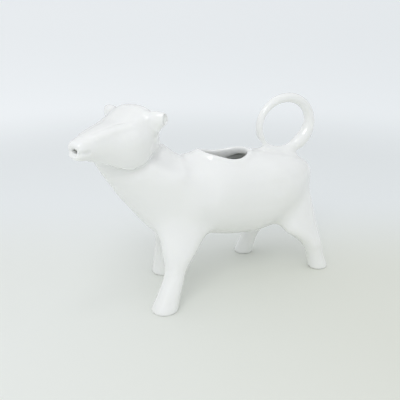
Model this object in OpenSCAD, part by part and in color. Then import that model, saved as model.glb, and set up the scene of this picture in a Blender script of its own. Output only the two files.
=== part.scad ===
// Cow creamer: a glazed porcelain milk jug shaped as a walking cow.
// Milk goes in through the saddle-shaped opening in the back and pours out of the mouth.
// The looped tail is the handle. The cow faces -X, its left side is -Y, and its hooves stand on z = 0.

/* [Trunk] */
// Length of the trunk from chest to rump
trunk_length = 114; // [110:1:118]
// Width of the trunk at its widest
trunk_width = 49; // [45:1:53]
// Depth of the trunk from back to belly
trunk_depth = 50; // [47:1:53]
// Height of the belly above the table
belly_height = 26; // [24:1:29]
// Thickness of the porcelain wall
wall = 3; // [2.6:0.1:3.4]

/* [Filling opening] */
// Length of the opening in the back
opening_length = 29.6; // [26:0.2:32]
// Width of the opening in the back
opening_width = 22; // [19:0.5:25]
// Distance of the opening's middle in front of the trunk's middle
opening_forward = 3.5; // [1:0.5:6]
// Thickness of the raised rim round the opening
rim_thickness = 3.4; // [2.8:0.1:4]
// Height of the rim above the back
rim_height = 1.6; // [1:0.1:2.4]
// Further height of the rim's lip at the front end
lip_height = 1.2; // [0.5:0.1:2.5]

/* [Head] */
// Length of the head from the back of the skull to the muzzle
head_length = 56.5; // [53:0.5:60]
// Width of the head across the cheeks
head_width = 31; // [28:1:34]
// Depth of the head from brow to jaw
head_depth = 37; // [35:0.5:38.5]
// Height of the brow above the table
brow_height = 111; // [108:0.5:113]
// Distance of the brow in front of the trunk's middle
brow_forward = 60; // [57:1:63]
// Angle of the head to the cow's left
head_turn = 24; // [18:1:28]
// Width of the mouth
mouth_width = 6.6; // [6:0.1:8]
// Height of the mouth
mouth_height = 4.6; // [4:0.1:5.6]

/* [Neck] */
// Width of the neck where it leaves the shoulders
neck_width = 38; // [34:1:41]

/* [Ears] */
// Length of an ear out from the side of the head
ear_length = 6.2; // [5.4:0.2:7.4]
// Height of an ear at its root
ear_height = 10; // [8:0.5:11]

/* [Tail handle] */
// Half the length of the tail ring, to the middle of its stem
ring_reach = 18.9; // [17.6:0.1:20]
// Half the height of the tail ring, to the middle of its stem
ring_rise = 15.8; // [15:0.1:17]
// Height of the ring's middle above the table
ring_height = 88.2; // [87.4:0.1:89.2]
// Distance of the ring's middle behind the trunk's middle
ring_back = 40.5; // [39:0.5:42]
// Thickness of the tail where it springs from the rump
tail_root = 7; // [6.4:0.2:7.6]

/* [Legs] */
// Distance of the front hooves' mid-point in front of the trunk's middle
front_reach = 43; // [41:1:45]
// Distance of the rear hooves' mid-point behind the trunk's middle
rear_reach = 41; // [39:1:43]
// Distance between the middles of the left and right hooves
stance_width = 43; // [40:1:45]
// Distance of each front hoof from the pair's mid-point, along the cow
front_stride = 11; // [8:1:13]
// Distance of each rear hoof from the pair's mid-point, along the cow
rear_stride = 13.5; // [10:0.5:15]
// Diameter of a front hoof at the table
front_hoof = 15.2; // [14:0.2:16.4]
// Diameter of a rear hoof at the table
rear_hoof = 12.6; // [11.6:0.2:13.6]

/* [Colour] */
// Colour of the glazed porcelain
glaze_colour = "#F4F3EF"; // [#F4F3EF:White, #F2E8D5:Cream]

/* [Hidden] */

// Corners round a large form and round a small one
sides = 28;
small_sides = 16;
leg_sides = 20;

function mix(a, b, share) = a + (b - a) * share;

// A smooth curve through evenly spaced knots, which may be numbers or points
function curve(knots, share) =
    let (n = len(knots) - 1, s = min(max(share, 0), 1) * n, i = min(floor(s), n - 1), f = s - i,
         a = knots[max(i - 1, 0)], b = knots[i], c = knots[i + 1], d = knots[min(i + 2, n)])
    b + f / 2 * ((c - a) + f * ((2 * a - 5 * b + 4 * c - d) + f * (3 * b - a - 3 * c + d)));

// Signed power, which squares off an ellipse
function signed_power(v, p) = sign(v) * pow(abs(v), p);

// A rounded outline about zero, as shares of its half width and half height.
// Its upper and its lower half have their own squareness: 2 is an ellipse.
function outline(count, upper, lower) =
    [for (i = [0 : count - 1])
        let (t = 360 * i / count, p = 2 / (sin(t) >= 0 ? upper : lower))
        [signed_power(cos(t), p), signed_power(sin(t), p)]];

// Height share of such an outline at a width share
function crown(share, squareness) = pow(max(1 - pow(min(abs(share), 1), squareness), 0), 1 / squareness);

// A tube of flat faces through sections that turn as they go, closed by a fan at each end.
// A closed one runs from its last section back to its first.
module sweep(rings, closed = false) {
    n = len(rings[0]);
    m = len(rings);
    ends = [for (ring = [rings[0], rings[m - 1]]) [for (i = [0 : 2]) total([for (p = ring) p[i]]) / n]];
    walls = [for (k = [0 : closed ? m - 1 : m - 2], i = [0 : n - 1])
        let (here = k * n, there = (k + 1) % m * n, j = (i + 1) % n)
        each [[here + i, there + i, there + j], [here + i, there + j, here + j]]];
    caps = [for (i = [0 : n - 1])
        let (j = (i + 1) % n)
        each [[m * n, i, j], [m * n + 1, (m - 1) * n + j, (m - 1) * n + i]]];
    corners = concat([for (ring = rings) each ring], closed ? [] : ends);
    polyhedron(corners, closed ? walls : concat(walls, caps));
}

function total(list) = list * [for (v = list) 1];

// A solid through a stack of flat, parallel sections that have the same number of corners
module skin(rings) {
    n = len(rings[0]);
    for (k = [0 : len(rings) - 2])
        hull() polyhedron(concat(rings[k], rings[k + 1]), concat(
            [[for (i = [0 : n - 1]) i], [for (i = [0 : n - 1]) 2 * n - 1 - i]],
            [for (i = [0 : n - 1]) [i, n + i, n + (i + 1) % n, (i + 1) % n]]));
}

// TRUNK: a barrel with blunt, rounded ends, drawn in by inset for its inside
trunk_steps = 22;
end_share = 0.02;
chest_power = 0.62;
rump_power = 0.5;
chest_squareness = 1.9;
rump_squareness = 2.5;
belly_squareness = 2.2;
width_shares = [0.80, 0.96, 1.0, 0.98, 0.935, 0.96, 1.0, 0.95, 0.80];
back_shares = [0.70, 0.985, 1.04, 1.06, 1.02, 1.01, 1.0, 0.985, 0.96];
belly_shares = [0.32, 0.18, 0.12, 0.08, 0.03, 0, 0.01, 0.05, 0.22];

// Length share, half width, half height and middle height at an angle from nose to tail
function trunk_form_at(t, inset) =
    let (along = (1 - cos(t)) / 2, cap = pow(sin(t), mix(chest_power, rump_power, along)),
         top = belly_height + trunk_depth * curve(back_shares, along),
         low = belly_height + trunk_depth * curve(belly_shares, along))
    [along, (trunk_width / 2 * curve(width_shares, along) - inset) * cap,
     ((top - low) / 2 - inset) * cap, (top + low) / 2];

// How square the back's half of a section is
function back_squareness(along) = mix(chest_squareness, rump_squareness, along);

function trunk_rings(inset) =
    [for (k = [0 : trunk_steps])
        let (t = 180 * mix(end_share, 1 - end_share, k / trunk_steps), f = trunk_form_at(t, inset))
        [for (p = outline(sides, back_squareness(f[0]), belly_squareness))
            [-(trunk_length / 2 - inset) * cos(t), p.x * f[1], f[3] + p.y * f[2]]]];

// Height of the back above the table at a point of the plan
function back_height(x, y) =
    let (f = trunk_form_at(acos(min(max(-2 * x / trunk_length, -1), 1)), 0))
    f[3] + f[2] * crown(y / f[1], back_squareness(f[0]));

module trunk_form() { skin(trunk_rings(0)); }
module trunk_inside() { skin(trunk_rings(wall)); }

// FILLING OPENING: an oval hole whose raised rim follows the back like a saddle
rim_steps = 36;
rim_sides = 8;
rim_sink = rim_height;

function rim_ring(t) =
    let (c = [cos(t), sin(t)],
         reach = [opening_length + rim_thickness, opening_width + rim_thickness] / 2,
         x = reach.x * c.x - opening_forward, y = reach.y * c.y,
         out = [c.x * reach.y, c.y * reach.x] / norm([c.x * reach.y, c.y * reach.x]),
         lift = rim_height + lip_height * pow(max(-c.x, 0), 3),
         foot = back_height(x, y) - rim_sink,
         half = (lift + rim_sink) / 2)
    [for (i = [0 : rim_sides - 1]) let (a = 360 * i / rim_sides)
        [x + out.x * rim_thickness / 2 * cos(a), y + out.y * rim_thickness / 2 * cos(a),
         foot + half + half * sin(a)]];

module rim() {
    sweep([for (k = [0 : rim_steps - 1]) rim_ring(-360 * k / rim_steps)], closed = true);
}

module opening_hole() {
    middle = belly_height + trunk_depth / 2;
    translate([-opening_forward, 0, middle])
        linear_extrude(trunk_depth)
            polygon([for (p = outline(sides, 2, 2)) [p.x * opening_length / 2, p.y * opening_width / 2]]);
}

module body_shell() {
    color(glaze_colour) centred() difference() {
        union() {
            trunk_form();
            rim();
        }
        trunk_inside();
        opening_hole();
        neck_inside();
    }
}

// HEAD: a wedge with a flat brow, full cheeks and a blunt muzzle that carries the mouth.
// Its sections are set out along the head's own line, which is turned to the left.
head_steps = 20;
behind_share = 0.27;
skull_power = 0.55;
muzzle_power = 0.36;
skull_squareness = 2.7;
muzzle_squareness = 3.0;
jaw_squareness = 2.2;
head_width_shares = [0.85, 0.98, 1.0, 0.97, 0.85, 0.67, 0.53, 0.46, 0.44];
brow_shares = [-0.13, -0.03, 0, -0.11, -0.205, -0.225, -0.25, -0.275, -0.30];
jaw_shares = [-0.72, -0.93, -0.99, -1.0, -0.94, -0.83, -0.72, -0.67, -0.665];

// The head's own frame: its middle under the brow, facing -X
module on_head() {
    translate([-brow_forward, 0, brow_height]) rotate(head_turn) children();
}

function head_form_at(t, inset) =
    let (along = (1 - cos(t)) / 2, cap = pow(sin(t), mix(skull_power, muzzle_power, along)),
         top = head_depth * curve(brow_shares, along), low = head_depth * curve(jaw_shares, along))
    [along, (head_width / 2 * curve(head_width_shares, along) - inset) * cap,
     ((top - low) / 2 - inset) * cap, (top + low) / 2];

function head_rings(inset) =
    [for (k = [0 : head_steps])
        let (t = 180 * mix(end_share, 1 - end_share, k / head_steps), f = head_form_at(t, inset),
             ahead = head_length * (f[0] - behind_share))
        [for (p = outline(sides, mix(skull_squareness, muzzle_squareness, f[0]), jaw_squareness))
            [-ahead, p.x * f[1], f[3] + p.y * f[2]]]];

// The inside keeps the wall's thickness in the skull, narrows to the mouth and runs out of it
inside_start_share = 0.09;
inside_end_share = 1.08;
inside_round_share = 0.4;
inside_narrow_share = 0.6;

function head_inside_rings() =
    [for (k = [0 : head_steps])
        let (share = mix(inside_start_share, inside_end_share, k / head_steps), along = min(share, 1),
             round_off = sqrt(1 - pow(max(1 - along / inside_round_share, 0), 2)),
             narrow = max(along - inside_narrow_share, 0) / (1 - inside_narrow_share),
             wide = head_width / 2 * curve(head_width_shares, along) - wall,
             top = head_depth * curve(brow_shares, along) - wall,
             low = head_depth * curve(jaw_shares, along) + wall)
        [for (p = outline(sides, jaw_squareness, jaw_squareness))
            [-head_length * (share - behind_share), p.x * mix(wide * round_off, mouth_width / 2, narrow),
             (top + low) / 2 + p.y * mix((top - low) / 2 * round_off, mouth_height / 2, narrow)]]];

module head_form() { on_head() skin(head_rings(0)); }
module head_inside() { on_head() skin(head_inside_rings()); }

module head() {
    color(glaze_colour) centred() difference() {
        head_form();
        head_inside();
        neck_inside();
    }
}

// NECK: from the shoulders up to the head, each section lying from the throat to the nape.
// Its lower points keep to the trunk and its upper ones to the head.
neck_steps = 11;
neck_squareness = 2.1;
throat_trunk_shares = [[0.758, 0, 0.124], [0.989, 0, 0.346], [1.179, 0, 0.657]];
throat_head_shares = [[0.116, 0.094, -1.41], [0.301, 0.102, -1.035],
                      [0.479, 0.038, -0.765], [0.556, -0.041, -0.57]];
nape_trunk_shares = [[0.34, 0, 0.75], [0.545, 0, 1.0], [0.632, 0, 1.058]];
nape_head_shares = [[-0.388, -0.315, -0.87], [-0.337, -0.24, -0.795],
                    [-0.285, -0.143, -0.705], [-0.194, -0.015, -0.57]];
root_throat_shares = [0.36, 0, 0.14];
root_nape_shares = [0.15, 0, 0.7];
neck_width_shares = [0.8, 1.0, 0.87, 0.68, 0.52, 0.45];
throat_narrow_share = 0.25;

// Places given as shares of the trunk and as shares of the turned head
function off_trunk(p) =
    [-trunk_length / 2 * p.x, trunk_width / 2 * p.y, belly_height + trunk_depth * p.z];
function off_head(p) =
    let (ahead = head_length * p.x, aside = head_width * p.y)
    [-brow_forward - ahead * cos(head_turn) - aside * sin(head_turn),
     aside * cos(head_turn) - ahead * sin(head_turn), brow_height + head_depth * p.z];

// Three places that follow the trunk and four that follow the head, which share one in the middle
function neck_line(low, high) =
    [off_trunk(low[0]), off_trunk(low[1]), (off_trunk(low[2]) + off_head(high[0])) / 2,
     off_head(high[1]), off_head(high[2]), off_head(high[3])];

function neck_ring(throat, nape, width_share, inset) =
    let (middle = (throat + nape) / 2, half = norm(nape - throat) / 2,
         fore = (throat - nape) / norm(nape - throat),
         side = [-fore.y, fore.x, 0] / norm([fore.x, fore.y]),
         half_width = neck_width / 2 * width_share)
    [for (p = outline(sides, neck_squareness, neck_squareness))
        middle + fore * (half - inset) * p.x
            + side * (half_width - inset) * p.y * (1 - throat_narrow_share * p.x)];

function neck_rings(inset) =
    [for (k = [0 : neck_steps])
        let (share = k / neck_steps)
        neck_ring(curve(neck_line(throat_trunk_shares, throat_head_shares), share),
                  curve(neck_line(nape_trunk_shares, nape_head_shares), share),
                  curve(neck_width_shares, share), inset)];

// The outside starts further back, within the trunk, so that the brisket closes against the belly
function root_ring() =
    neck_ring(off_trunk(root_throat_shares), off_trunk(root_nape_shares), neck_width_shares[0], 0);

module neck_form() { sweep(concat([root_ring()], neck_rings(0))); }
module neck_inside() { sweep(neck_rings(wall)); }

module neck() {
    color(glaze_colour) centred() difference() {
        neck_form();
        trunk_form();
        head_form();
        neck_inside();
    }
}

// EARS: short cones that stand out from the sides of the skull, with a small hollow in the end
ear_steps = 8;
ear_sink_share = 0.5;
ear_middle_share = 0.78;
ear_sweep_share = 0.06;
ear_flat_share = 0.72;
ear_girth_shares = [1.2, 1.16, 1.08, 0.92, 0.64];
ear_droop_shares = [-0.27, -0.262, -0.245, -0.222, -0.205];
hollow_steps = 3;
hollow_start_share = 0.72;
hollow_end_share = 1.14;
hollow_start_girth_share = 0.10;
hollow_end_girth_share = 0.27;
hollow_flat_share = 0.55;

// Middle of an ear's section at a share of its length
function ear_point(side, share, ahead, rise) =
    [ear_sweep_share * head_length * share + ahead,
     side * mix(ear_sink_share * head_width / 2, head_width / 2 + ear_middle_share * ear_length, share),
     head_depth * curve(ear_droop_shares, share) + rise];

module ear_hollow(side) {
    on_head() skin([for (k = [0 : hollow_steps])
        let (f = k / hollow_steps, share = mix(hollow_start_share, hollow_end_share, f),
             half = ear_height * mix(hollow_start_girth_share, hollow_end_girth_share, f))
        [for (p = outline(small_sides, 2, 2))
            ear_point(side, share, p.x * half * hollow_flat_share, p.y * half)]]);
}

module ear(side) {
    color(glaze_colour) centred() difference() {
        on_head() skin([for (k = [0 : ear_steps])
            let (share = k / ear_steps, half = ear_height / 2 * curve(ear_girth_shares, share))
            [for (p = outline(small_sides, 2, 2))
                ear_point(side, share, p.x * half * ear_flat_share, p.y * half)]]);
        head_form();
        ear_hollow(side);
    }
}

// TAIL HANDLE: a ring, thick where it springs from the rump and thinner where it comes down on the back
tail_steps = 40;
tail_shares = [0.95, 1.3, 0.96, 0.90, 0.84, 0.72, 0.63, 0.68, 0.95];

function tail_ring(share) =
    let (t = mix(-90, 270, share), thick = tail_root * curve(tail_shares, share),
         middle = [ring_back + ring_reach * cos(t), 0, ring_height + ring_rise * sin(t)],
         away = [ring_rise * cos(t), 0, ring_reach * sin(t)], out = away / norm(away))
    [for (p = outline(small_sides, 2, 2)) middle + out * p.x * thick / 2 + [0, p.y * thick / 2, 0]];

module tail_handle() {
    color(glaze_colour) centred() difference() {
        sweep([for (k = [0 : tail_steps - 1]) tail_ring(k / tail_steps)], closed = true);
        trunk_form();
    }
}

// LEGS: each runs from a broad shoulder or haunch inside the trunk down to a flared hoof
leg_steps = 17;
front_top_share = 1.08;
rear_top_share = 1.12;
haunch_back_share = 1.037;
hoof_edge_share = 0.016;
hoof_sole_share = 0.93;
front_lean_shares = [0, 0.23, 0.5, 0.76, 0.95, 1, 1, 1, 1];
front_web_shares = [0, 0, 0, 0, 0.06, 0.26, 0.52, 0.68, 0.74];
rear_lean_shares = [0, 0.14, 0.34, 0.63, 0.95, 1, 1, 1, 1];
front_girth_shares = [1, 0.87, 0.79, 0.77, 1.12, 1.75, 2.3, 2.5, 2.4];
rear_web_shares = [0, 0, 0, 0, -0.12, -0.14, -0.14, -0.14, -0.14];
rear_girth_shares = [1, 0.87, 0.92, 1.3, 2.05, 2.1, 2.05, 1.9, 1.6];
tuck_shares = [1, 0.98, 0.95, 0.89, 0.78, 0.68, 0.6, 0.55, 0.5];
flank_shares = [1, 1, 1, 1.05, 1.15, 1.22, 1.2, 1.0, 0.7];

module leg_form(hoof, hip, side, size, top, lean_shares, web_shares, girth_shares) {
    steps = concat([0, hoof_edge_share], [for (k = [1 : leg_steps]) k / leg_steps]);
    skin([for (s = steps)
        let (x = mix(hoof, hip, curve(lean_shares, s)) + size * curve(web_shares, s),
             y = side * stance_width / 2 * curve(tuck_shares, s),
             half = size / 2 * curve(girth_shares, s) * (s == 0 ? hoof_sole_share : 1),
             half_side = min(half, size / 2 * curve(flank_shares, s)))
        [for (p = outline(leg_sides, 2, 2)) [x + p.x * half, y + p.y * half_side, top * s]]]);
}

module front_leg(side, stride, shoulder) {
    color(glaze_colour) centred() difference() {
        leg_form(-front_reach + stride, -front_reach + shoulder, side, front_hoof,
                 front_top_share * trunk_depth, front_lean_shares, front_web_shares, front_girth_shares);
        trunk_form();
        neck_form();
    }
}

module rear_leg(side, stride) {
    color(glaze_colour) centred() difference() {
        leg_form(rear_reach + stride, haunch_back_share * rear_reach, side, rear_hoof,
                 rear_top_share * trunk_depth, rear_lean_shares, rear_web_shares, rear_girth_shares);
        trunk_form();
    }
}

// The cow is moved along X so that its length is centred on the origin
foremost = -brow_forward
    + min([for (ring = head_rings(0), p = ring) p.x * cos(head_turn) - p.y * sin(head_turn)]);
rearmost = max(concat([for (k = [0 : tail_steps], p = tail_ring(k / tail_steps)) p.x],
                      [trunk_length / 2, rear_reach + rear_stride + rear_hoof / 2]));
shift = -(foremost + rearmost) / 2;

module centred() { translate([shift, 0, 0]) children(); }

body_shell();
neck();
head();
ear(-1);  // left_ear
ear(1);  // right_ear
tail_handle();
front_leg(-1, -front_stride, 0);  // left_front_leg
front_leg(1, front_stride, front_stride);  // right_front_leg
rear_leg(-1, rear_stride);  // left_rear_leg
rear_leg(1, -rear_stride);  // right_rear_leg
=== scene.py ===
import math

import bpy
import numpy as np
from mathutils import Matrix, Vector
from mathutils.bvhtree import BVHTree
from mathutils.kdtree import KDTree


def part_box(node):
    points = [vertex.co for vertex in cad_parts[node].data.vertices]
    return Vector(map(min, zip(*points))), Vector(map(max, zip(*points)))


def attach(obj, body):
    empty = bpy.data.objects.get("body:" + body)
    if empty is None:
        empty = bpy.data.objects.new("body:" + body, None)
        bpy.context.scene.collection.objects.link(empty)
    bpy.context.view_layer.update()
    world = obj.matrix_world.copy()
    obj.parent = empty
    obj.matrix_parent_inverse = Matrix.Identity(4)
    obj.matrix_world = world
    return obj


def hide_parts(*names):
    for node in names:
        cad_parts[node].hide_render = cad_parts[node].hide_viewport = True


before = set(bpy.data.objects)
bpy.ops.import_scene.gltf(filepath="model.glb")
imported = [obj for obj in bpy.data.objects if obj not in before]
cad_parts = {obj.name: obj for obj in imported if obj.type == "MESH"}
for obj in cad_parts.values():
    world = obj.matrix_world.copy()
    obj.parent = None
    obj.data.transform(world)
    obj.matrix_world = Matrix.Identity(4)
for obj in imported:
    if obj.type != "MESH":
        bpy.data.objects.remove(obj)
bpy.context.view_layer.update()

# THE CAMERA
# It looks down on the cow from in front of its left side, as the photograph does.
# The frame is square, so the lens alone sets the angle of view.
camera_place = (-0.16722, -0.27814, 0.16462)
camera_pitch = 19.4
camera_yaw = 30.9

bpy.ops.object.camera_add(location=camera_place,
                          rotation=(math.radians(90 - camera_pitch), 0, math.radians(-camera_yaw)))
camera = bpy.context.object
camera.name = "camera"
camera.data.lens = 54.0
camera.data.sensor_width = 36.0
camera.data.clip_start = 0.01
bpy.context.scene.camera = camera

# THE CAST BODY
# Trunk, neck, head, legs, ears and tail are cast in plaster moulds and stuck together with slip.
# The joints are then sponged round, so that the fired cow has one porcelain skin with soft hollows.
swell = 0.0002
voxel = 0.0007
weld_gap = 1e-6
touching_gap = 0.00005
weight_steps = 20

bpy.ops.object.select_all(action="DESELECT")
casts = []
for name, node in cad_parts.items():
    cast = bpy.data.objects.new(name + "_cast", node.data.copy())
    bpy.context.scene.collection.objects.link(cast)
    bpy.context.view_layer.objects.active = cast
    cast.select_set(True)
    bpy.ops.object.mode_set(mode="EDIT")
    bpy.ops.mesh.select_all(action="SELECT")
    bpy.ops.mesh.remove_doubles(threshold=weld_gap)
    bpy.ops.object.mode_set(mode="OBJECT")
    grow = cast.modifiers.new("swell", "DISPLACE")
    grow.strength = swell
    grow.mid_level = 0
    bpy.ops.object.modifier_apply(modifier=grow.name)
    cast.select_set(False)
    casts.append(cast)
for cast in casts:
    cast.select_set(True)
cow = casts[0]
bpy.context.view_layer.objects.active = cow
bpy.ops.object.join()
cow.name = "porcelain_body"
cow.data.name = "porcelain_body"

fuse = cow.modifiers.new("fuse", "REMESH")
fuse.mode = "VOXEL"
fuse.voxel_size = voxel
bpy.ops.object.modifier_apply(modifier=fuse.name)

# The skin's points as they are now stay the basis of all that follows
spots = np.empty(len(cow.data.vertices) * 3, np.float32)
cow.data.vertices.foreach_get("co", spots)
spots = spots.reshape(-1, 3)
height = spots[:, 2]


def fade(distance, near, far):
    """0 up to near, 1 from far on, and smooth between."""
    share = np.clip((distance - near) / (far - near), 0, 1)
    return share * share * (3 - 2 * share)


def within(distance, near, far):
    """1 up to near, 0 from far on, and smooth between."""
    return 1 - fade(distance, near, far)


def apart(*places, offset=0):
    """Distance of each point of the skin, moved by the offset, from the line through the places."""
    places = [np.array(place) for place in places]
    points = spots + offset
    if len(places) == 1:
        return np.linalg.norm(points - places[0], axis=1)
    nearest = []
    for a, b in zip(places, places[1:]):
        share = np.clip((points - a) @ (b - a) / ((b - a) @ (b - a)), 0, 1)
        nearest.append(np.linalg.norm(points - a - share[:, None] * (b - a), axis=1))
    return np.min(nearest, axis=0)


def finish(kind, name, weights, **settings):
    """Applies a modifier to the skin where the weights aren't nothing."""
    group = cow.vertex_groups.new(name=name)
    for level in range(1, weight_steps + 1):
        chosen = np.nonzero(np.round(weights * weight_steps) == level)[0]
        group.add(chosen.tolist(), level / weight_steps, "REPLACE")
    modifier = cow.modifiers.new(name, kind)
    modifier.vertex_group = name
    for key, value in settings.items():
        setattr(modifier, key, value)
    bpy.ops.object.modifier_apply(modifier=name)
    cow.vertex_groups.clear()


def wipe(name, weights, passes):
    """Smooths the skin as a wet sponge does."""
    finish("SMOOTH", name, weights, factor=0.5, iterations=passes)


def press(name, weights, rise, **settings):
    """Raises the skin along its normals, or presses it in where the rise is negative."""
    finish("DISPLACE", name, weights, strength=rise, mid_level=0, **settings)


# The joints are where the castings touch: crisp at head and ears, soft elsewhere
depsgraph = bpy.context.evaluated_depsgraph_get()
trees = {name: BVHTree.FromObject(node, depsgraph) for name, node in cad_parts.items()}
ears = {"left_ear", "right_ear"}
crisp = {"head"} | ears
soft = set(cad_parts) - crisp


def off_joints(nodes, others):
    """Distance of each point of the skin from where the first castings touch the others."""
    touching = []
    for name in nodes:
        for corner in {tuple(vertex.co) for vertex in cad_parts[name].data.vertices}:
            if any(trees[other].find_nearest(corner, touching_gap)[0] for other in others if other != name):
                touching.append(corner)
    joints = KDTree(len(touching))
    for k, corner in enumerate(touching):
        joints.insert(corner, k)
    joints.balance()
    return np.array([joints.find(spot)[2] for spot in spots])


off_soft = off_joints(soft, soft)
off_crisp = off_joints(crisp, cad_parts)
off_ear_roots = off_joints(ears, {"head"})
off_shoulder = off_joints({"neck"}, {"body_shell", "left_front_leg", "right_front_leg"})
off_tail = off_joints({"tail_handle"}, {"body_shell"})

# Small forms that a broad sponge would wear away: rim, tail ring, ears, mouth and hooves
rim_middle = (0.0145, 0, 0.077)
rim_half = (0.0165, 0.0127)
rim_edge = -0.08
rim_outside = (-0.001, 0.001)
rim_inside = (0.0022, 0.004)
rim_foot = 0.068
ring_foot = 0.0825
ring_flatness = (1, 3, 1)
ring_reach = (0.027, 0.032)
ear_reach = (0.0085, 0.011)
mouth_place = (-0.0795, -0.0172, 0.0931)
mouth_reach = (0.005, 0.009)
hoof_heights = (0.014, 0.034)
valley_heights = (0.064, 0.072)

outward = np.hypot((spots[:, 0] - rim_middle[0]) / rim_half[0],
                   (spots[:, 1] - rim_middle[1]) / rim_half[1]) - 1
off_rim = np.where(outward > rim_edge, fade(outward * rim_half[1], *rim_outside),
                   fade(-outward * rim_half[1], *rim_inside))
off_rim[height < rim_foot] = 1
low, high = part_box("tail_handle")
ring = np.array((low + high) / 2)
off_ring = np.where(height > ring_foot,
                    fade(np.linalg.norm((spots - ring) / ring_flatness, axis=1), *ring_reach), 1)
off_ears = np.ones(len(spots))
for name in ("left_ear", "right_ear"):
    low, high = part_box(name)
    off_ears = np.minimum(off_ears, fade(apart((low + high) / 2), *ear_reach))
off_mouth = fade(apart(mouth_place), *mouth_reach)
off_hooves = fade(height, *hoof_heights)
off_valley = within(height, *valley_heights)
small = off_rim * off_ears * off_mouth * off_ring

# Each sponging is full within the first of its two distances and ends at the second
valley_share = 0.3
soft_reach = (0.003, 0.011)
off_head_reach = (0.002, 0.006)
shoulder_reach = (0.005, 0.018)
tail_reach = (0.002, 0.008)
crisp_reach = (0.0012, 0.004)
ear_root_reach = (0.0012, 0.0034)

sponge = cow.modifiers.new("sponge", "SMOOTH")
sponge.factor = 0.5
sponge.iterations = 5
bpy.ops.object.modifier_apply(modifier=sponge.name)
wipe("sponge_broad", small * off_hooves, 50)
wipe("sponge_soft_joints",
     (valley_share + (1 - valley_share) * off_valley) * small * off_hooves
     * within(off_soft, *soft_reach), 220)
wipe("sponge_shoulder",
     off_valley * off_rim * off_hooves * fade(off_crisp, *off_head_reach)
     * within(off_shoulder, *shoulder_reach), 500)
wipe("sponge_tail", off_rim * within(off_tail, *tail_reach), 120)
wipe("sponge_crisp_joints", off_mouth * within(off_crisp, *crisp_reach), 16)
wipe("sponge_ear_roots", within(off_ear_roots, *ear_root_reach), 50)
wipe("sponge_small", 1 - small, 4)

# Soft hollows and swellings, pressed into the clay by hand on both sides
head_middle = (-0.04204, 0.0)
head_turn = math.radians(24)


def on_head(ahead, aside, up):
    """A place given along the head, which is turned to the cow's left."""
    return (head_middle[0] - ahead * math.cos(head_turn) - aside * math.sin(head_turn),
            head_middle[1] - ahead * math.sin(head_turn) + aside * math.cos(head_turn), up)


def ear_web(side):
    """The line below an ear, down the back of the skull."""
    return on_head(-0.0022, side * 0.0160, 0.0975), on_head(-0.0050, side * 0.0134, 0.0950)


# Name, line through these places, full within, nothing beyond, rise
for side in (-1, 1):
    presses = (
        ("mouth_line", (on_head(0.0418, side * 0.0036, 0.0928), on_head(0.0385, side * 0.0052, 0.0925),
                        on_head(0.0358, side * 0.0060, 0.0925)), 0.0003, 0.0015, -0.0007),
        ("eye_hollow", (on_head(0.0191, side * 0.0099, 0.0989),), 0.0008, 0.0055, -0.0005),
        ("brow_ridge", (on_head(0.0304, side * 0.0056, 0.0989), on_head(0.0235, side * 0.0067, 0.1002),
                        on_head(0.0165, side * 0.0077, 0.1014), on_head(0.0104, side * 0.0106, 0.1018)),
         0.0003, 0.0034, 0.0006),
        ("cheek", (on_head(0.0105, side * 0.0137, 0.0948),), 0.001, 0.0065, 0.0005),
        ("ear_hollow", (on_head(0.0045, side * 0.0140, 0.1007),), 0.0008, 0.0050, -0.0005),
        ("ear_web", ear_web(side), 0.0005, 0.0036, 0.0016),
        ("ear_bowl", (on_head(-0.0034, side * 0.0208, 0.1020), on_head(-0.0034, side * 0.0208, 0.1048)),
         0.0003, 0.0021, -0.0016),
        ("flank", ((0.0215, side * 0.023, 0.036), (0.0225, side * 0.021, 0.066)), 0.001, 0.010, -0.0003),
        ("shoulder_hollow", ((-0.009, side * 0.023, 0.046), (-0.008, side * 0.020, 0.068)),
         0.001, 0.008, -0.0005),
        ("haunch_hollow", ((0.040, side * 0.0225, 0.058),), 0.001, 0.007, -0.0004),
        ("haunch", ((0.038, side * 0.020, 0.068), (0.052, side * 0.019, 0.050)), 0.001, 0.010, 0.0005),
    )
    for name, line, near, far, rise in presses:
        press(name, within(apart(*line), near, far), rise)

# The skin's outer side faces away from a line through the hollow of trunk, neck and head
hollow_line = ((0.055, 0, 0.052), (-0.020, 0, 0.052), (-0.045, -0.003, 0.080), (-0.052, -0.005, 0.095),
               mouth_place)
facing_step = 0.0005
facing = np.empty(len(cow.data.vertices) * 3, np.float32)
cow.data.vertices.foreach_get("normal", facing)
facing = facing.reshape(-1, 3)
outer = apart(*hollow_line, offset=facing * facing_step) > apart(*hollow_line)

# The nape runs into the back in one soft line, and the neck is hollow behind the cheeks
withers_line = ((-0.024, 0, 0.083), (-0.010, 0, 0.0765))
nape_line = ((-0.034, 0, 0.082), (-0.013, 0, 0.076))
press("withers", outer * within(apart(*withers_line), 0.002, 0.012), 0.0026)
for side in (-1, 1):
    neck_line = ((-0.032, side * 0.012, 0.084), (-0.024, side * 0.012, 0.079))
    press("neck_hollow", outer * within(apart(*neck_line), 0.001, 0.009), -0.0017)
    wipe("sponge_ear_web", outer * within(apart(*ear_web(side)), 0.0030, 0.0052), 14)
wipe("sponge_withers", off_rim * outer * within(apart(*nape_line), 0.014, 0.021), 60)

# The opening's inner edge is drawn down into the body by the wet sponge
collar_middle = -0.12
collar_reach = (0.03, 0.14)
collar_heights = (0.060, 0.0695, 0.073)
collar = (within(abs(outward - collar_middle), *collar_reach) * within(height, *collar_heights[1:])
          * (height > collar_heights[0]))
press("collar", collar, -0.005, direction="Z")
wipe("sponge_collar", collar, 10)

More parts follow.
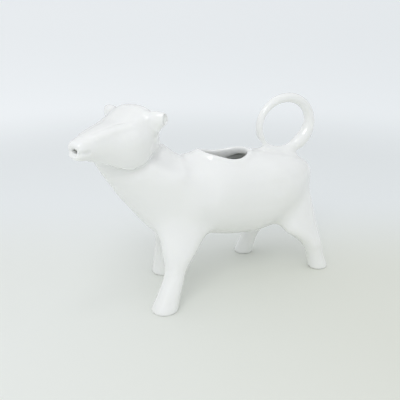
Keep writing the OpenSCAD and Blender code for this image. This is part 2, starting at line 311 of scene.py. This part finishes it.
# The jaw stands out over the neck, which is cut back below it
jaw_reach = (0.0012, 0.0058)
jaw_sponge_reach = (0.001, 0.004)
to_head, to_neck = (np.array([trees[name].find_nearest(spot)[3] for spot in spots])
                    for name in ("head", "neck"))
off_jaw = np.maximum(to_head, to_neck)
along_jaw = outer * within(off_jaw, *jaw_reach) * off_rim
press("under_jaw", along_jaw * (to_neck < to_head), -0.0010)
press("jaw_edge", along_jaw * (to_neck >= to_head), 0.0003)
wipe("sponge_jaw", within(off_jaw, *jaw_sponge_reach), 8)
for side in (-1, 1):
    skull_back = (on_head(-0.0030, side * 0.0155, 0.0975), on_head(-0.0080, side * 0.0110, 0.0890))
    wipe("sponge_skull_back", outer * within(apart(*skull_back), 0.0030, 0.0060), 24)

# The wall is thicker round the mouth, whose hole is small
mouth_way = apart(on_head(0.0420, 0.0, 0.0931), on_head(0.0300, 0.0, 0.0931))
mouth_wall_reach = (0.0029, 0.0042)
muzzle_end = (0.0395, 0.0412)
ahead = (spots[:, 0] - head_middle[0]) * -math.cos(head_turn) - spots[:, 1] * math.sin(head_turn)
press("mouth_wall", within(mouth_way, *mouth_wall_reach) * within(ahead, *muzzle_end), 0.0014)

# Fewer, larger triangles do for the inside, so that the whole skin stays under 200,000 of them
kept_share = 0.68
finish("DECIMATE", "plain_inside", 1 - outer.astype(float), ratio=kept_share)

shrink = cow.modifiers.new("shrink", "DISPLACE")
shrink.strength = -swell
shrink.mid_level = 0
bpy.ops.object.modifier_apply(modifier=shrink.name)
bpy.ops.object.shade_smooth()
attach(cow, "root")
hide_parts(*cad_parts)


class Wire:
    """A shader socket on which arithmetic adds Math nodes."""

    def __init__(self, tree, socket):
        self.tree = tree
        self.socket = socket

    def maths(self, operation, *values):
        return add_node(self.tree, "ShaderNodeMath", {"operation": operation}, dict(enumerate(values)))

    def __add__(self, other):
        return self.maths("ADD", self, other)

    def __radd__(self, other):
        return self.maths("ADD", other, self)

    def __sub__(self, other):
        return self.maths("SUBTRACT", self, other)

    def __rsub__(self, other):
        return self.maths("SUBTRACT", other, self)

    def __mul__(self, other):
        return self.maths("MULTIPLY", self, other)

    def __rmul__(self, other):
        return self.maths("MULTIPLY", other, self)

    def __truediv__(self, other):
        return self.maths("DIVIDE", self, other)

    def __rtruediv__(self, other):
        return self.maths("DIVIDE", other, self)


def add_node(tree, kind, settings=None, inputs=None, output=0):
    """Adds a node, makes its settings, fills its sockets and gives back one of its outputs."""
    node = tree.nodes.new(kind)
    for key, value in (settings or {}).items():
        setattr(node, key, value)
    for key, value in (inputs or {}).items():
        if isinstance(value, Wire):
            tree.links.new(value.socket, node.inputs[key])
        else:
            node.inputs[key].default_value = value
    return Wire(tree, node.outputs[output])


def blend(tree, share, first, second):
    """Mixes two colours: on the Mix node they are inputs 6 and 7, and the result is output 2."""
    return add_node(tree, "ShaderNodeMix", {"data_type": "RGBA"}, {0: share, 6: first, 7: second}, output=2)


def ramp(tree, value, low, high, start=0.0, end=1.0, course="LINEAR"):
    """Turns a value between low and high into one between start and end."""
    return add_node(tree, "ShaderNodeMapRange", {"interpolation_type": course},
                    {0: value, 1: low, 2: high, 3: start, 4: end})


glaze_tints = ((0.92, 0.93, 0.918, 1), (0.94, 0.948, 0.935, 1))
glaze_roughness = (0.16, 0.26)
pooled_scale = 45.0
orange_peel_scale = 160.0
wave_strength = 0.12
wave_depth = 0.0004

glaze = bpy.data.materials.new("clear_glaze_on_white_porcelain")
glaze.use_nodes = True
tree = glaze.node_tree
shader = tree.nodes["Principled BSDF"]
place = add_node(tree, "ShaderNodeTexCoord", output="Object")
pooled = add_node(tree, "ShaderNodeTexNoise", {}, {"Vector": place, "Scale": pooled_scale, "Detail": 2.0})
tint = blend(tree, pooled, *glaze_tints)
tree.links.new(tint.socket, shader.inputs["Base Color"])
orange_peel = add_node(tree, "ShaderNodeTexNoise", {},
                       {"Vector": place, "Scale": orange_peel_scale, "Detail": 3.0})
gloss = ramp(tree, orange_peel, 0.3, 0.7, *glaze_roughness)
tree.links.new(gloss.socket, shader.inputs["Roughness"])
waves = add_node(tree, "ShaderNodeBump", {},
                 {"Strength": wave_strength, "Distance": wave_depth, "Height": orange_peel + pooled * 2})
tree.links.new(waves.socket, shader.inputs["Normal"])
shader.inputs["IOR"].default_value = 1.5
shader.inputs["Coat Weight"].default_value = 1.0
shader.inputs["Coat Roughness"].default_value = 0.05
shader.inputs["Subsurface Weight"].default_value = 0.3
shader.inputs["Subsurface Radius"].default_value = (1.0, 1.0, 0.95)
shader.inputs["Subsurface Scale"].default_value = 0.003
cow.data.materials.clear()
cow.data.materials.append(glaze)

# THE TABLE AND THE LIGHT
# The pale table is painted warm near the camera and paler and cooler further back, partly the backdrop's
# colour and partly painted light; it is painted lighter towards the window on the left and darker away from
# it as painted shade, and far off it glows a little as painted light.
# A soft window lamp from the upper left, a small one above and a weak one low on the left light the cow.
from_window = (0.858, -0.5135, 0)
from_front = (0.5135, 0.858, 0)
table_radius = 14.0
table_sides = 96
behind = (0.0, 0.15)
distance = (0.30, 0.60)
window_side = (-0.4, 0.4)
around_cow = 0.12

# Each pair is the tone towards the window and the one away from it, which is darker as painted shade
near_tones = ((0.83, 0.85, 0.82, 1), (0.75, 0.765, 0.70, 1))
back_tones = ((0.865, 0.893, 0.905, 1), (0.84, 0.87, 0.88, 1))
far_tones = ((0.92, 0.94, 0.955, 1), (0.86, 0.885, 0.90, 1))
# Glow of the table near the cow and far off: painted light that lightens the table and its shadows
painted_glow_tones = ((0.02, 0.02, 0.02, 1), (0.12, 0.125, 0.13, 1))

bpy.ops.object.select_all(action="DESELECT")
bpy.ops.mesh.primitive_circle_add(vertices=table_sides, radius=table_radius, fill_type="NGON",
                                  location=(0, 0, 0))
table = bpy.context.object
table.name = "table"
paint = bpy.data.materials.new("pale_table")
paint.use_nodes = True
tree = paint.node_tree
shader = tree.nodes["Principled BSDF"]
place = add_node(tree, "ShaderNodeTexCoord", output="Object")
reach = add_node(tree, "ShaderNodeVectorMath", {"operation": "LENGTH"}, {0: place}, output=1)
backward = add_node(tree, "ShaderNodeVectorMath", {"operation": "DOT_PRODUCT"},
                    {0: place, 1: from_front}, output=1)
sideways = add_node(tree, "ShaderNodeVectorMath", {"operation": "DOT_PRODUCT"},
                    {0: place, 1: from_window}, output=1)
# Painted light and backdrop colour: the table is painted paler and cooler further back and far off
further_back = ramp(tree, backward, *behind, course="SMOOTHSTEP")
far_off = ramp(tree, reach, *distance, course="SMOOTHSTEP")
# Painted shade: the table is painted darker away from the window on the left
painted_shade_share = ramp(tree, sideways / (reach + around_cow), *window_side)
tone = blend(tree, further_back, blend(tree, painted_shade_share, *near_tones), blend(tree, painted_shade_share, *back_tones))
tone = blend(tree, far_off, tone, blend(tree, painted_shade_share, *far_tones))
tree.links.new(tone.socket, shader.inputs["Base Color"])
# The table glows a little, more far off: painted light
painted_glow = blend(tree, far_off, *painted_glow_tones)
tree.links.new(painted_glow.socket, shader.inputs["Emission Color"])
shader.inputs["Emission Strength"].default_value = 1.0
shader.inputs["Roughness"].default_value = 0.55
table.data.materials.append(paint)

# The room is a little brighter overhead than at the table's height
room_colour = (0.965, 0.985, 1.0, 1)
room_strength = (0.68, 0.80)
room_heights = (-0.1, 0.9)

world = bpy.data.worlds.new("white_room")
bpy.context.scene.world = world
world.use_nodes = True
tree = world.node_tree
room = tree.nodes["Background"]
toward = add_node(tree, "ShaderNodeTexCoord", output="Generated")
upward = add_node(tree, "ShaderNodeSeparateXYZ", {}, {0: toward}, output=2)
lift = ramp(tree, upward, *room_heights, *room_strength, course="SMOOTHSTEP")
tree.links.new(lift.socket, room.inputs["Strength"])
room.inputs["Color"].default_value = room_colour

# Name, place, size and power of each lamp, all turned to the middle of the cow
lamp_target = (0, 0, 0.05)
lamps = (
    ("window_lamp", (-0.42, -0.46, 0.76), 0.32, 1.50),
    ("ceiling_lamp", (-0.10, -0.16, 0.90), 0.12, 0.25),
    ("room_lamp", (-0.85, -0.35, 0.35), 0.30, 0.12),
)
for name, spot, size, power in lamps:
    bpy.ops.object.light_add(type="AREA", location=spot)
    lamp = bpy.context.object
    lamp.name = name
    lamp.data.size = size
    lamp.data.energy = power
    lamp.rotation_euler = (Vector(lamp_target) - Vector(spot)).to_track_quat("-Z", "Y").to_euler()

bpy.context.scene.view_settings.view_transform = "Standard"
